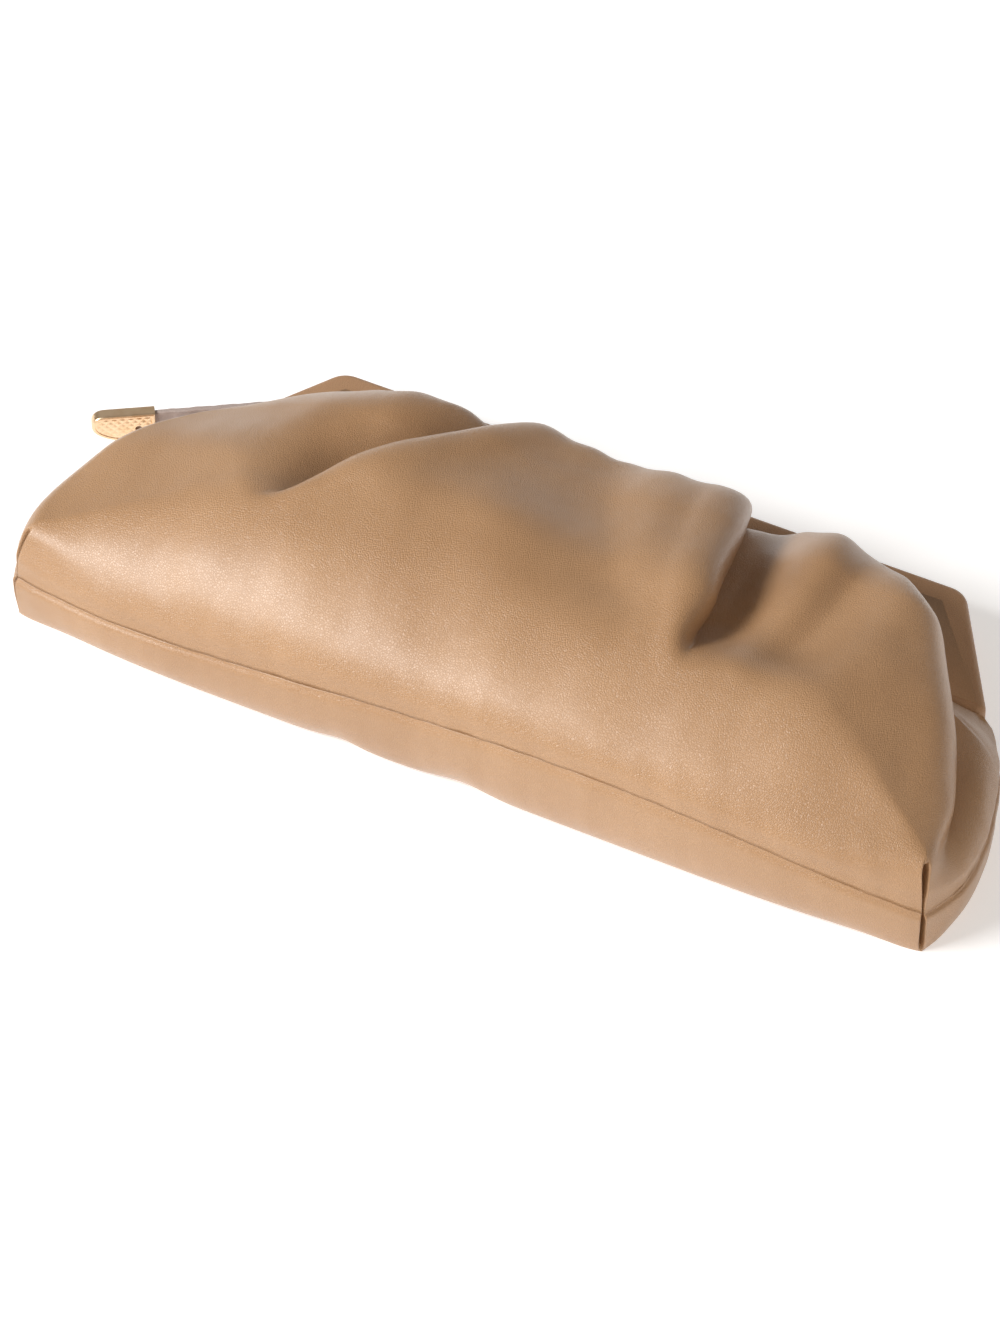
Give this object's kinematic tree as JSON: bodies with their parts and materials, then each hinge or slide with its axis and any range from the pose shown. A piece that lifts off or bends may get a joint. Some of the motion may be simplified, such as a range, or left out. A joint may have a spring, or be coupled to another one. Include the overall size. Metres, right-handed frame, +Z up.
{
  "type": "leather frame pouch bag",
  "caption": "Soft gathered leather pouch bag with a stiff covered frame at its mouth, tucked base corners and a short metal-tipped strap end.",
  "frame": {"origin": "middle of the bag's footprint on the floor, with the bag lying on its back panel", "axes": "+X along the base from the strap's end to the other end, +Y from the base seam to the mouth, +Z up out of the front panel"},
  "size_m": [0.4088, 0.1708, 0.0764],
  "materials": {
    "nappa_leather": "soft smooth nappa with fine grain, satin sheen",
    "frame_leather": "smooth taut leather over a stiff core, satin",
    "strap_leather": "pebbled shimmering leather with dark painted edges",
    "brass": "pale gold-tone metal, polished"
  },
  "bodies": {
    "root": {"front_panel": "nappa_leather", "back_panel": "nappa_leather", "front_frame": "frame_leather", "back_frame": "frame_leather", "left_hinge_pin": "brass", "right_hinge_pin": "brass", "strap": "strap_leather", "strap_tip": "brass"}
  },
  "joints": []
}
